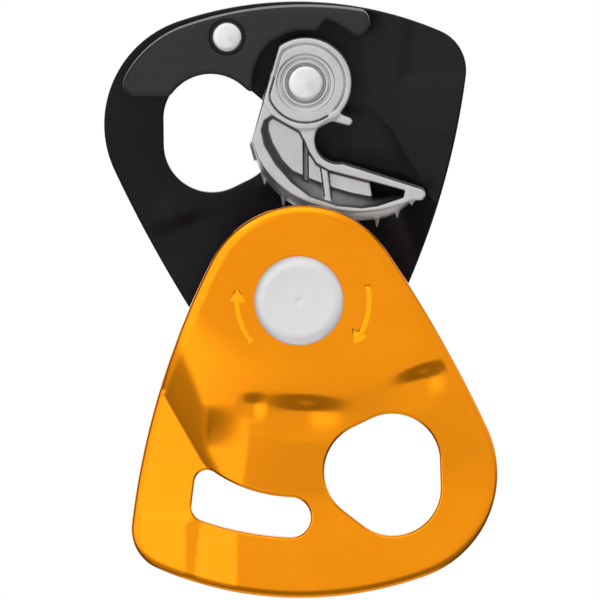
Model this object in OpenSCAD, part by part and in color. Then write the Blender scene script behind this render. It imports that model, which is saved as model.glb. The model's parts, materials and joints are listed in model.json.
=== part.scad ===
// Progress-capture rope pulley, shown open and hanging from its attachment hole.
// +Z is up and +X is to the right, seen from the front. The sheave axle lies along Y,
// and the swinging front plate is on the -Y side. The origin is the centre of the back
// plate's attachment hole, midway between the two plates. Millimetres throughout.

/* [Side plates] */
// Thickness of each pressed side plate
plate_t = 2.5; // [2:0.1:2.6]
// Outer face of a plate over the sheave, from the mid plane
sheave_zone_y = 9.4; // [9.4:0.1:9.8]
// Outer face of a plate around its attachment hole, from the mid plane
attach_zone_y = 7.2; // [7.2:0.1:7.6]
// Outer face of a plate along its low side, from the mid plane
low_zone_y = 6.6; // [6.6:0.1:7]
// Rise of the pressed ramps between the zones, as outward travel per unit of length
ramp_slope = 0.55; // [0.45:0.05:0.7]
// Height above the sheave axle at which the pressed ramp begins
ramp_start_z = 15; // [14.6:0.1:15.4]
// Distance to the right of the axle at which the low side begins
low_side_x = 13; // [12.6:0.1:14]

/* [Sheave and bearing] */
// Radius of the sheave at the bottom of its rope groove
tread_r = 8.5; // [8.3:0.1:8.7]
// Outer radius of the sheave flanges
flange_r = 13.5; // [13:0.1:13.7]
// Width of the sheave across its flanges
sheave_w = 13; // [12.6:0.1:13]
// Radius of the rope groove's round section
groove_r = 5.4; // [5:0.1:5.5]
// Number of balls in the bearing
ball_count = 8; // [6:1:8]
// Radius of each bearing ball
ball_r = 1; // [0.9:0.05:1]

/* [Axles] */
// Radius of the main axle's shaft
axle_r = 3; // [2.8:0.1:3]
// Radius of the main axle's front head
head_r = 7.4; // [7:0.1:8]
// Radius of the cam axle's shaft
cam_axle_r = 2.5; // [2.2:0.1:2.5]
// Height of the cam axle above the sheave axle
cam_axle_z = 35.6; // [35.4:0.1:35.8]

/* [Cam] */
// Width of the cam's arm, across the rope
cam_w = 7.6; // [7:0.1:7.6]
// Radius of the round boss about the cam axle
cam_boss_r = 7.6; // [7.4:0.1:7.8]
// Height of each tooth above the crowned gripping face
tooth_h = 1.1; // [0.8:0.1:1.3]

/* [Hidden] */
$fn = 64;

fit = 0.05;              // running clearance on a radius
seat = 0.02;             // clearance on a radius of pieces that are fixed together
reach = 80;              // further than any edge of the part

// Side plate outline with its attachment end up: rounded corners [x, z, radius],
// counter-clockwise from the sheave end, and the radius of the bowed edge after each.
plate_corners = [[-0.5, 1.1, 16.8], [20.7, 37.4, 7.1], [-14.3, 28.3, 18.1]];
plate_bows = [133, 61, 210];
// The front plate reaches a little further past the attachment hole.
front_corners = [[-0.5, 1.1, 16.8], [20.7, 38.3, 7.1], [-14.8, 29, 18.1]];
// Attachment holes about their own centres
hole_corners = [[-1.25, -2.1, 8], [1.2, -0.55, 8.3], [-1.4, 2.2, 7.9]];
front_hole_corners = [[-1.35, -2.4, 7.9], [1.65, -0.6, 8.2], [-1.45, 2.1, 7.95]];
hole_bows = [0, 0, 0];
back_hole = [-13.2, 27];
front_hole = [-14.05, 29.2];
// Curved window in the front plate that shows the cam axle when the plates are closed
window_corners = [[1.4, 36.2, 3.35], [15.2, 30.5, 2.1], [15.35, 34.5, 2.45]];
window_bows = [-24.5, 0, 53.6];

cam_axle_x = 1.1;
cam_pivot = [cam_axle_x, cam_axle_z];

sheave_half = sheave_w / 2;
race_half = 2.5;         // half the bearing's width
ball_pitch_r = 4.75;
race_gap = 0.8;          // half the gap between the two races
bearing_r = 6.5;
sleeve_r = 4.15;
sheave_shoulder_r = 5.7;
bush_r = 4.75;
washer_t = 0.3;
sheave_inner_y = sheave_zone_y - plate_t;
attach_inner_y = attach_zone_y - plate_t;
friction_t = 0.3;
head_back_y = -(sheave_zone_y + friction_t + fit);
head_t = 1.5;
tail_r = 5.6;
tail_t = 1.4;

spacer_front_y = -4.5;
rivet_xz = [-11.9, 43.3];
rivet_r = 1.5;
rivet_head_r = 2.56;
rivet_recess_r = 3;
rivet_head_t = 1.2;

boss_half = 3.9;
cam_half = cam_w / 2;
spiral_start = -133;     // direction of the gripping face's heel from the cam axle
spiral_end = -47;
heel_r = 13;             // distance of the heel from the cam axle
spiral_rate = 0.155;     // growth of that distance per degree
flat_distance = 5.95;    // cam axle to the boss's flat side
flat_direction = 164;
neck_centre = [6.5, 26.1];
neck_r = 3.9;
tip_centre = [20, 17.15];
tip_r = 0.95;
// Direction of each row of teeth from the cam axle
tooth_directions = [-129, -116, -102, -89.5, -79, -69.5, -60.5, -53, -47.5];
nub_foot = [4.4, -5.4];   // inner end of the stop nub, from the cam axle
nub_size = [3.6, 1.4];
nub_tilt = -24;
head_recess_r = 3.5;
head_step_r = 4.8;       // shallow step around the axle head's recess
spring_y = 0.5;          // floor of the spring recess
spring_pitch_r = 4.75;
wire_r = 0.42;

// ---------------------------------------------------------------- outlines
function unit(v) = v / norm(v);
function turned(a, r) = r * [cos(a), sin(a)];

// Points on an arc about c, from direction n0 to direction n1; a negative r is hollow.
function arc_points(c, r, n0, n1) =
    let (a0 = atan2(n0[1], n0[0]), a1 = atan2(n1[1], n1[0]),
         sweep = r > 0 ? (a1 - a0 + 720) % 360 : -((a0 - a1 + 720) % 360),
         steps = max(1, ceil(abs(sweep) / 6), ceil(abs(sweep * r) / 150)))
    [for (k = [0:steps]) c + turned(a0 + sweep * k / steps, r)];

// Outward normals where the edge after corner i leaves it and meets the next one,
// with the bow's centre; bow 0 is a straight edge.
function edge_normals(p, q, bow) =
    let (d = [q[0] - p[0], q[1] - p[1]], len = norm(d), u = unit(d), v = [u[1], -u[0]])
    bow == 0
    ? let (k = (p[2] - q[2]) / len, n = k * u + sqrt(1 - k * k) * v) [n, n, undef]
    : let (a = abs(bow - p[2]), b = abs(bow - q[2]),
           along = (len * len + a * a - b * b) / (2 * len),
           across = sqrt(a * a - along * along) * sign(bow),
           c = [p[0], p[1]] + along * u - across * v)
      [([p[0], p[1]] - c) / (bow - p[2]), ([q[0], q[1]] - c) / (bow - q[2]), c];

// Closed outline of rounded corners joined by bowed edges.
function rounded_outline(corners, bows) =
    let (n = len(corners),
         edges = [for (i = [0:n - 1]) edge_normals(corners[i], corners[(i + 1) % n], bows[i])])
    [for (i = [0:n - 1])
        let (p = corners[i], before = edges[(i + n - 1) % n], after = edges[i],
             bow = after[2] == undef ? [] : arc_points(after[2], bows[i], after[0], after[1]))
        each concat(arc_points([p[0], p[1]], p[2], before[1], after[0]),
                    [for (k = [1:1:len(bow) - 2]) bow[k]])];

// ---------------------------------------------------------------- helpers
// From the sheave axle, where everything is drawn, to the part's own origin
module placed() {
    translate([-back_hole[0], 0, -back_hole[1]]) children();
}

// Extrudes a front-view shape from y0 to y1
module slab(y0, y1) {
    translate([0, y1, 0]) rotate([90, 0, 0]) linear_extrude(y1 - y0) children();
}

module rod(r, y0, y1, at = [0, 0]) {
    translate([at[0], y1, at[1]]) rotate([90, 0, 0]) cylinder(h = y1 - y0, r = r);
}

module ring(r_in, r_out, y0, y1, at = [0, 0]) {
    difference() {
        rod(r_out, y0, y1, at);
        rod(r_in, y0 - 1, y1 + 1, at);
    }
}

// Ring of round section about the Y axis
module torus(ring_r, section_r) {
    rotate([90, 0, 0]) rotate_extrude() translate([ring_r, 0]) circle(section_r);
}

// Everything inside the front plate's outer surface once that is lowered by inset
module pressed_block(inset, size, floor_y) {
    high = sheave_zone_y - inset;
    middle = attach_zone_y - inset;
    low = low_zone_y - inset;
    ramp_end_z = ramp_start_z + (high - low) / ramp_slope;
    low_ramp_w = (middle - low) / (ramp_slope / 2);
    translate([size, 0, 0]) rotate([0, -90, 0]) linear_extrude(2 * size)
        polygon([[-size, -floor_y], [size, -floor_y], [size, -low], [ramp_end_z, -low],
                 [ramp_start_z, -high], [-size, -high]]);
    translate([0, 0, -size]) linear_extrude(2 * size)
        polygon([[-size, -floor_y], [size, -floor_y], [size, -low],
                 [low_side_x + low_ramp_w, -low], [low_side_x, -middle], [-size, -middle]]);
}

// Front side plate without its holes, attachment end up
module plate_blank(corners) {
    intersection() {
        slab(-sheave_zone_y - 1, 0) polygon(rounded_outline(corners, plate_bows));
        difference() {
            pressed_block(0, reach, 0);
            pressed_block(plate_t, reach + 10, -1);
        }
    }
}

module attachment_hole(centre, corners) {
    slab(-sheave_zone_y - 1, sheave_zone_y + 1) translate(centre)
        polygon(rounded_outline(corners, hole_bows));
}

// ---------------------------------------------------------------- side plates
module back_plate() {
    placed() color([0.14, 0.14, 0.16]) difference() {
        mirror([0, 1, 0]) plate_blank(plate_corners);
        attachment_hole(back_hole, hole_corners);
        rod(axle_r + seat, 0, sheave_zone_y + 1);
        rod(cam_axle_r + seat, 0, sheave_zone_y + 1, cam_pivot);
        rod(rivet_r + seat, 0, sheave_zone_y + 1, rivet_xz);
        rod(wire_r + fit, 0, attach_inner_y + 1.3, cam_pivot + turned(200, spring_pitch_r));
    }
}

module front_plate() {
    placed() color([0.93, 0.56, 0.02]) rotate([0, 180, 0]) difference() {
        plate_blank(front_corners);
        attachment_hole(front_hole, front_hole_corners);
        slab(-sheave_zone_y - 1, 0) polygon(rounded_outline(window_corners, window_bows));
        rod(bush_r + seat, -sheave_zone_y - 1, 0);
    }
}

module front_plate_bush() {
    placed() color([0.2, 0.2, 0.2])
        ring(sleeve_r + fit, bush_r, -sheave_zone_y, -sheave_inner_y);
}

// ---------------------------------------------------------------- main axle
module main_axle() {
    placed() color([0.85, 0.85, 0.85]) {
        rod(axle_r, head_back_y - 0.1, sheave_zone_y + 0.1);
        translate([0, head_back_y, 0]) rotate([90, 0, 0]) {
            cylinder(h = head_t - 0.4, r = head_r);
            translate([0, 0, head_t - 0.4]) cylinder(h = 0.4, r1 = head_r, r2 = head_r - 0.4);
        }
        translate([0, sheave_zone_y, 0]) rotate([-90, 0, 0]) {
            cylinder(h = 0.6, r = tail_r);
            translate([0, 0, 0.6]) cylinder(h = tail_t - 0.6, r1 = tail_r, r2 = tail_r - 1.6);
        }
    }
}

module front_sleeve() {
    placed() color([0.7, 0.7, 0.72]) ring(axle_r + seat, sleeve_r, head_back_y, -race_half);
}

module rear_sleeve() {
    placed() color([0.7, 0.7, 0.72]) ring(axle_r + seat, sleeve_r, race_half, sheave_inner_y);
}

module friction_washer() {
    placed() color([0.8, 0.8, 0.8])
        ring(sleeve_r + seat, head_r - 0.7, head_back_y, head_back_y + friction_t);
}

module front_thrust_washer() {
    placed() color([0.92, 0.92, 0.88])
        ring(sleeve_r + seat, 7, -sheave_inner_y + fit, -sheave_inner_y + fit + washer_t);
}

module rear_thrust_washer() {
    placed() color([0.92, 0.92, 0.88])
        ring(sleeve_r + seat, 7, sheave_inner_y - washer_t, sheave_inner_y);
}

// ---------------------------------------------------------------- sheave and bearing
module bearing_inner_race() {
    placed() color([0.75, 0.75, 0.78]) difference() {
        ring(axle_r + seat, ball_pitch_r - race_gap, -race_half, race_half);
        torus(ball_pitch_r, ball_r + fit);
    }
}

module bearing_outer_race() {
    placed() color([0.75, 0.75, 0.78]) difference() {
        ring(ball_pitch_r + race_gap, bearing_r, -race_half, race_half);
        torus(ball_pitch_r, ball_r + fit);
    }
}

module bearing_ball_set(r) {
    for (k = [0:ball_count - 1])
        rotate([0, k * 360 / ball_count, 0]) translate([ball_pitch_r, 0, 0]) sphere(r);
}

module bearing_balls() {
    placed() color([0.85, 0.85, 0.88]) bearing_ball_set(ball_r);
}

module bearing_cage() {
    placed() color([0.72, 0.6, 0.35]) difference() {
        ring(ball_pitch_r - 0.4, ball_pitch_r + 0.4, -1.5, 1.5);
        bearing_ball_set(ball_r + fit);
    }
}

module bearing_seal() {
    ring(ball_pitch_r - race_gap + fit, ball_pitch_r + race_gap - seat, -0.2, 0.2);
}

module bearing_front_seal() {
    placed() color([0.1, 0.1, 0.1]) translate([0, -race_half + 0.35, 0]) bearing_seal();
}

module bearing_rear_seal() {
    placed() color([0.1, 0.1, 0.1]) translate([0, race_half - 0.35, 0]) bearing_seal();
}

module sheave() {
    placed() color([0.62, 0.63, 0.66]) difference() {
        rod(flange_r, -sheave_half, sheave_half);
        torus(tread_r + groove_r, groove_r);
        rod(bearing_r + seat, -sheave_half - 1, race_half);
        rod(sheave_shoulder_r, -1, sheave_half + 1);
    }
}

// ---------------------------------------------------------------- catch spacer
// Nylon block along the top edge that holds the plates apart; its finger is on the right.
module catch_spacer() {
    finger = [9.6, 45.6];
    finger_r = 2.2;
    // Rounded left end, then the square right end that the finger's tip covers
    end_corners = [[-26.8, 35.9, 2.45], [-23.6, 35.8, 2.35], [7.9, 36, 1], [7.9, 60, 1],
                   [-28.2, 60, 1]];
    stop_direction = 72;     // end face that the cam's nub meets when the cam is open
    nub_sweep_r = 11.1;
    boss_sweep_r = 8.8;
    placed() color([0.24, 0.24, 0.25]) difference() {
        slab(spacer_front_y, attach_inner_y) difference() {
            union() {
                intersection() {
                    translate([1.2, -0.2])
                        polygon(rounded_outline([for (c = plate_corners) c - [0, 0, 0.2]],
                                                [for (b = plate_bows) b - 0.2]));
                    polygon(rounded_outline(end_corners, [0, 0, 0, 0, 0]));
                }
                translate(finger) circle(finger_r);
            }
            translate(back_hole) polygon(rounded_outline(hole_corners, hole_bows));
            translate(cam_pivot) circle(boss_sweep_r);
            translate(cam_pivot) polygon(concat(
                [[0, 0]],
                [for (a = [-48:6:stop_direction]) turned(a, nub_sweep_r)],
                [turned(stop_direction + 7, boss_sweep_r - 0.4)]));
        }
        rod(rivet_r + seat, spacer_front_y - 1, attach_inner_y + 1, rivet_xz);
        rod(rivet_recess_r, spacer_front_y - 1, spacer_front_y + rivet_head_t + 0.1, rivet_xz);
    }
}

module spacer_rivet() {
    placed() color([0.85, 0.85, 0.85]) {
        rod(rivet_r, spacer_front_y + 0.2, attach_zone_y + 0.1, rivet_xz);
        rod(rivet_head_r, spacer_front_y + 0.1, spacer_front_y + 0.1 + rivet_head_t, rivet_xz);
        rod(rivet_head_r, attach_zone_y, attach_zone_y + 0.9, rivet_xz);
    }
}

// ---------------------------------------------------------------- cam
module cam_axle() {
    head = 3.05;
    placed() color([0.88, 0.88, 0.88]) {
        rod(cam_axle_r, -boss_half, attach_zone_y + 0.1, cam_pivot);
        rod(head, -boss_half - 0.1, -boss_half + 1, cam_pivot);
        rod(4.4, attach_zone_y, attach_zone_y + 1.2, cam_pivot);
    }
}

module cam_washer() {
    placed() color([0.8, 0.8, 0.8])
        ring(cam_axle_r + seat, 4.2, boss_half + fit, attach_inner_y, cam_pivot);
}

// One point of the torsion spring's wire: angle about the cam axle and distance along Y
function wire_point(a, y) =
    [spring_pitch_r * cos(a), y, spring_pitch_r * sin(a)];

module cam_spring() {
    turns = 2.5;
    steps = 16;              // rings per turn
    sides = 8;
    pitch = 2 * wire_r + 0.08;
    leg = 200;               // direction of the leg that enters the back plate
    rear_y = boss_half - wire_r - 0.1;
    coil = [for (k = [0:steps * turns]) let (t = k / steps)
            [leg + 20 + 360 * (turns - t), rear_y - pitch * (turns - t)]];
    path = concat(coil, [[leg + 8, rear_y + 0.15], [leg, rear_y + 0.8],
                         [leg, attach_inner_y + 1]]);
    last = len(path) - 1;
    rings = [for (i = [0:last]) let (
        here = wire_point(path[i][0], path[i][1]),
        ahead = wire_point(path[min(i + 1, last)][0], path[min(i + 1, last)][1]),
        behind = wire_point(path[max(i - 1, 0)][0], path[max(i - 1, 0)][1]),
        along = unit(ahead - behind),
        outward = [cos(path[i][0]), 0, sin(path[i][0])],
        side = cross(along, outward))
        for (s = [0:sides - 1])
            here + wire_r * (cos(360 * s / sides) * outward + sin(360 * s / sides) * side)];
    placed() color([0.8, 0.8, 0.82]) translate([cam_pivot[0], 0, cam_pivot[1]]) polyhedron(
        rings,
        concat([[for (s = [0:sides - 1]) s]],
               [[for (s = [sides - 1:-1:0]) last * sides + s]],
               [for (i = [0:last - 1]) for (s = [0:sides - 1])
                   [i * sides + s, (i + 1) * sides + s,
                    (i + 1) * sides + (s + 1) % sides, i * sides + (s + 1) % sides]]));
}

function spiral_r(a) = heel_r + spiral_rate * (a - spiral_start);

// Front view of the cam with its gripping face grown outward by crown
module cam_outline(crown) {
    difference() {
        union() {
            translate(cam_pivot) circle(cam_boss_r);
            polygon(concat(
                [cam_pivot, cam_pivot + turned(flat_direction, cam_boss_r),
                 cam_pivot + turned(spiral_start, heel_r)],
                [for (a = [spiral_start:3:spiral_end])
                    cam_pivot + turned(a, spiral_r(a) + crown * sin(180 * min(1,
                        (a - spiral_start) / 16, (spiral_end - a) / 16) / 2))],
                [for (a = [-75:15:75]) tip_centre + turned(a, tip_r)],
                [for (a = [-81:-12:-261]) neck_centre + turned(a, neck_r)]));
        }
        translate(cam_pivot + turned(flat_direction, flat_distance)) rotate(flat_direction)
            translate([0, -20]) square(40);
    }
}

// One tooth; all point straight down with the cam at rest.
module cam_tooth(direction, y) {
    root = cam_pivot + turned(direction, spiral_r(direction));
    translate([root[0], y, root[1]]) rotate([180, 0, 0])
        cylinder(h = tooth_h + 1.1, r1 = 0.75, r2 = 0.2, $fn = 16);
}

module cam() {
    placed() color([0.78, 0.78, 0.79]) difference() {
        union() {
            slab(-cam_half, cam_half) cam_outline(0);
            slab(-cam_half * 0.72, cam_half * 0.72) cam_outline(0.9);
            slab(-cam_half * 0.4, cam_half * 0.4) cam_outline(1.4);
            rod(cam_boss_r - 1.1, -boss_half, boss_half, cam_pivot);
            slab(-cam_half, -cam_half + 3) translate(cam_pivot + nub_foot) rotate(nub_tilt)
                translate([0, -nub_size[1] / 2]) square(nub_size);
            for (direction = tooth_directions) for (y = [-1.3, 1.3]) cam_tooth(direction, y);
        }
        // Boss flat, axle bore, head recess and the recess for the spring
        translate([cam_pivot[0], 0, cam_pivot[1]]) rotate([0, -flat_direction, 0])
            translate([flat_distance, -10, -10]) cube(20);
        rod(cam_axle_r + fit, -boss_half - 1, boss_half + 1, cam_pivot);
        rod(head_recess_r, -boss_half - 1, -boss_half + 1.05, cam_pivot);
        rod(head_step_r, -boss_half - 1, -boss_half + 0.2, cam_pivot);
        difference() {
            rod(5.5, spring_y, boss_half + 1, cam_pivot);
            rod(3.6, spring_y - 1, boss_half + 2, cam_pivot);
        }
        // Cast pockets either side of the arm's web, and the slot through it
        for (side = [-1, 1]) slab(side > 0 ? cam_half - 2 : -cam_half - 1,
                                  side > 0 ? cam_half + 1 : -cam_half + 2) {
            polygon([[-4.6, 29.1], [-0.6, 27.4], [1, 25], [0.9, 19.8], [-1.4, 21.4],
                     [-4.3, 25.5]]);
            polygon([[2, 23.4], [3, 22.6], [4, 21.2], [4, 18], [2, 19.6]]);
            polygon([[5.8, 20.6], [11.4, 18.9], [11.4, 16.3], [8.4, 16.2], [5.8, 17.2]]);
        }
        slab(-cam_half - 1, cam_half + 1)
            polygon([[12, 18.7], [17.2, 17.6], [15.6, 16.6], [12, 16.2]]);
    }
}

// ---------------------------------------------------------------- assembly
back_plate();
main_axle();
front_sleeve();
rear_sleeve();
friction_washer();
front_thrust_washer();
rear_thrust_washer();
bearing_inner_race();
bearing_outer_race();
bearing_balls();
bearing_cage();
bearing_front_seal();
bearing_rear_seal();
sheave();
front_plate();
front_plate_bush();
catch_spacer();
spacer_rivet();
cam_axle();
cam_washer();
cam_spring();
cam();
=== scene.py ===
"""Looks of the rope pulley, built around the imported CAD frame.

Shapes are drawn in millimetres from the sheave axle: +x right, +z up, -y towards the viewer.
place() turns them into the part's own frame in metres.
"""
import json
import math

import bmesh
import bpy
import numpy as np
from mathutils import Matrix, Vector, geometry


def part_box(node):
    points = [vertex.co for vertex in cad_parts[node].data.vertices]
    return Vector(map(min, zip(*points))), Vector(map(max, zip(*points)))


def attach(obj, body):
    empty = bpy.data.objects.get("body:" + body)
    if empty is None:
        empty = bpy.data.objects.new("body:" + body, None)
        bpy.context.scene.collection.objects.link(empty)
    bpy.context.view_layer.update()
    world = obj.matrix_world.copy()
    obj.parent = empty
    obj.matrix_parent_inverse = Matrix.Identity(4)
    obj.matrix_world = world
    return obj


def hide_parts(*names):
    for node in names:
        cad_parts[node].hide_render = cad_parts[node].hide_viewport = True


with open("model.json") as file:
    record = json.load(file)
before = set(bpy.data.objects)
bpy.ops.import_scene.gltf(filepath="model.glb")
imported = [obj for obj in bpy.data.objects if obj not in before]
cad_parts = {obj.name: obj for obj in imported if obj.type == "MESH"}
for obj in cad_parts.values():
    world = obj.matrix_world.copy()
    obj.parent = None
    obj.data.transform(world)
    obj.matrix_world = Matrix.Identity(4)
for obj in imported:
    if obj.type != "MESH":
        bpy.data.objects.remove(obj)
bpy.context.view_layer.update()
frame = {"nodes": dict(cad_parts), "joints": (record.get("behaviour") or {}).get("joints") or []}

MM = 0.001
JOINTS = {joint["name"]: joint for joint in frame["joints"]}
AXLE = np.array(JOINTS["plate_swing"]["pos_m"], float)
CAM_PIVOT = (np.array(JOINTS["cam_pivot"]["pos_m"], float) - AXLE)[[0, 2]] / MM


# ------------------------------------------------------------------ small helpers
def place(points):
    """Millimetres from the sheave axle to metres in the part's frame."""
    return np.asarray(points, float) * MM + AXLE


def turned(degrees, radius=1.0):
    angle = np.radians(degrees)
    return np.array([np.cos(angle), np.sin(angle)]).T * np.reshape(radius, (-1, 1)) \
        if np.ndim(degrees) else radius * np.array([math.cos(angle), math.sin(angle)])


def smoothstep(value, low, high):
    t = np.clip((value - low) / (high - low), 0, 1)
    return t * t * (3 - 2 * t)


def smooth_min(a, b, radius):
    h = np.maximum(radius - np.abs(a - b), 0) / radius
    return np.minimum(a, b) - h * h * radius / 4


def smooth_max(a, b, radius):
    return -smooth_min(-a, -b, radius)


def box_mm(node):
    """A CAD node's lowest and highest corners in millimetres from the sheave axle."""
    low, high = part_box(node)
    return (np.array(low) - AXLE) / MM, (np.array(high) - AXLE) / MM


def piece(name, points, faces, body, material, replaces=(), normals=None, shade=None):
    """A smooth mesh object that rides on a body and stands for CAD nodes."""
    mesh = bpy.data.meshes.new(name)
    mesh.from_pydata(place(points).tolist(), [], [list(map(int, face)) for face in faces])
    mesh.validate()
    mesh.update()
    for polygon in mesh.polygons:
        polygon.use_smooth = True
    obj = bpy.data.objects.new(name, mesh)
    bpy.context.scene.collection.objects.link(obj)
    if normals is not None:
        mesh.normals_split_custom_set_from_vertices(normals.tolist())
    # The 'wall' attribute carries a painted shade mask for the material to darken by.
    if shade is not None:
        mesh.attributes.new("wall", "FLOAT", "POINT").data.foreach_set("value", shade)
    mesh.materials.append(material)
    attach(obj, body)
    if replaces:
        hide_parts(*replaces)
    return obj


# ------------------------------------------------------------------ outlines
class Outline:
    """Closed line of arcs and straights: centre, radius and outward normal of every point."""

    def __init__(self, corners, bows, step=0.6):
        self.centre, self.radius, self.normal = [], [], []
        count = len(corners)
        edges = [self.edge(corners[i], corners[(i + 1) % count], bows[i]) for i in range(count)]
        for i, corner in enumerate(corners):
            before, after = edges[i - 1], edges[i]
            self.arc(np.array(corner[:2], float), corner[2], before[1], after[0], step)
            if after[2] is not None:
                self.arc(after[2], bows[i], after[0], after[1], step, open_ends=True)
            else:
                self.straight(corner, corners[(i + 1) % count], after[0], step)
        self.centre = np.array(self.centre)
        self.radius = np.array(self.radius)
        self.normal = np.array(self.normal)

    @staticmethod
    def edge(p, q, bow):
        start, end = np.array(p[:2], float), np.array(q[:2], float)
        length = np.hypot(*(end - start))
        along = (end - start) / length
        across = np.array([along[1], -along[0]])
        if bow == 0:
            lean = (p[2] - q[2]) / length
            normal = lean * along + math.sqrt(1 - lean * lean) * across
            return normal, normal, None
        a, b = abs(bow - p[2]), abs(bow - q[2])
        reach = (length * length + a * a - b * b) / (2 * length)
        centre = start + reach * along - math.copysign(math.sqrt(a * a - reach * reach), bow) * across
        return (start - centre) / (bow - p[2]), (end - centre) / (bow - q[2]), centre

    def arc(self, centre, radius, start, end, step, open_ends=False):
        first = math.atan2(start[1], start[0])
        sweep = math.atan2(end[1], end[0]) - first
        sweep = sweep % (2 * math.pi) if radius > 0 else -((-sweep) % (2 * math.pi))
        steps = max(2, math.ceil(abs(sweep) * max(abs(radius), 3) / step))
        for k in range(1, steps) if open_ends else range(steps + 1):
            angle = first + sweep * k / steps
            self.centre.append(centre)
            self.radius.append(radius)
            self.normal.append([math.cos(angle), math.sin(angle)])

    def straight(self, p, q, normal, step):
        p, q = np.array(p, float), np.array(q, float)
        steps = math.ceil(np.hypot(*(q - p)[:2]) / step)
        for k in range(1, steps):
            here = p + (q - p) * k / steps
            self.centre.append(here[:2])
            self.radius.append(here[2])
            self.normal.append(normal)

    def points(self, inset=0.0):
        return self.centre + (self.radius - inset)[:, None] * self.normal

    def moved(self, offset):
        copy = Outline.__new__(Outline)
        copy.centre, copy.radius, copy.normal = self.centre + offset, self.radius, self.normal
        return copy


def circle_outline(centre, radius, steps):
    ring = Outline.__new__(Outline)
    angles = np.arange(steps) * 360 / steps
    ring.normal = turned(angles)
    ring.centre = np.tile(np.array(centre, float), (steps, 1))
    ring.radius = np.full(steps, float(radius))
    return ring


def inside(points, loop):
    """Which points lie inside a closed loop, by counting crossings."""
    result = np.zeros(len(points), bool)
    x, z = points[:, 0], points[:, 1]
    for (x0, z0), (x1, z1) in zip(loop, np.roll(loop, -1, axis=0)):
        if z0 == z1:
            continue
        crosses = (z0 > z) != (z1 > z)
        result ^= crosses & (x < (x1 - x0) * (z - z0) / (z1 - z0) + x0)
    return result


def polygon_distance(loop, x, z):
    """Signed distance to a closed polygon, negative inside."""
    loop = np.asarray(loop, float)
    best = np.full(x.shape, 1e9)
    sign = np.zeros(x.shape, bool)
    for (x0, z0), (x1, z1) in zip(loop, np.roll(loop, -1, axis=0)):
        dx, dz = x1 - x0, z1 - z0
        t = np.clip(((x - x0) * dx + (z - z0) * dz) / max(dx * dx + dz * dz, 1e-12), 0, 1)
        best = np.minimum(best, (x - x0 - t * dx) ** 2 + (z - z0 - t * dz) ** 2)
        if dz:
            sign ^= ((z0 > z) != (z1 > z)) & (x < dx * (z - z0) / dz + x0)
    return np.where(sign, -1, 1) * np.sqrt(best)


# ------------------------------------------------------------------ materials
def add_node(tree, kind, inputs=(), **settings):
    node = tree.nodes.new(kind)
    for key, value in settings.items():
        setattr(node, key, value)
    for key, value in dict(inputs).items():
        if isinstance(value, bpy.types.NodeSocket):
            tree.links.new(value, node.inputs[key])
        else:
            node.inputs[key].default_value = value
    return node


def blank_material(name):
    material = bpy.data.materials.new(name)
    material.use_nodes = True
    return material, material.node_tree, material.node_tree.nodes["Principled BSDF"]


def noise(tree, scale, detail):
    where = add_node(tree, "ShaderNodeTexCoord").outputs["Object"]
    return add_node(tree, "ShaderNodeTexNoise", {
        "Vector": where, "Scale": scale, "Detail": detail, "Roughness": 0.55}).outputs["Fac"]


def remap(tree, value, low, high, from_low=0.3, from_high=0.7):
    return add_node(tree, "ShaderNodeMapRange", {
        "Value": value, "From Min": from_low, "From Max": from_high,
        "To Min": low, "To Max": high}).outputs[0]


def tint(tree, factor, dark, light):
    mix = add_node(tree, "ShaderNodeMix", data_type="RGBA")
    tree.links.new(factor, mix.inputs[0])
    mix.inputs[6].default_value = (*dark, 1)
    mix.inputs[7].default_value = (*light, 1)
    return mix.outputs[2]


def bump(tree, height, distance, normal=None):
    inputs = {"Height": height, "Distance": distance, "Strength": 1.0}
    if normal is not None:
        inputs["Normal"] = normal
    return add_node(tree, "ShaderNodeBump", inputs).outputs[0]


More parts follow.
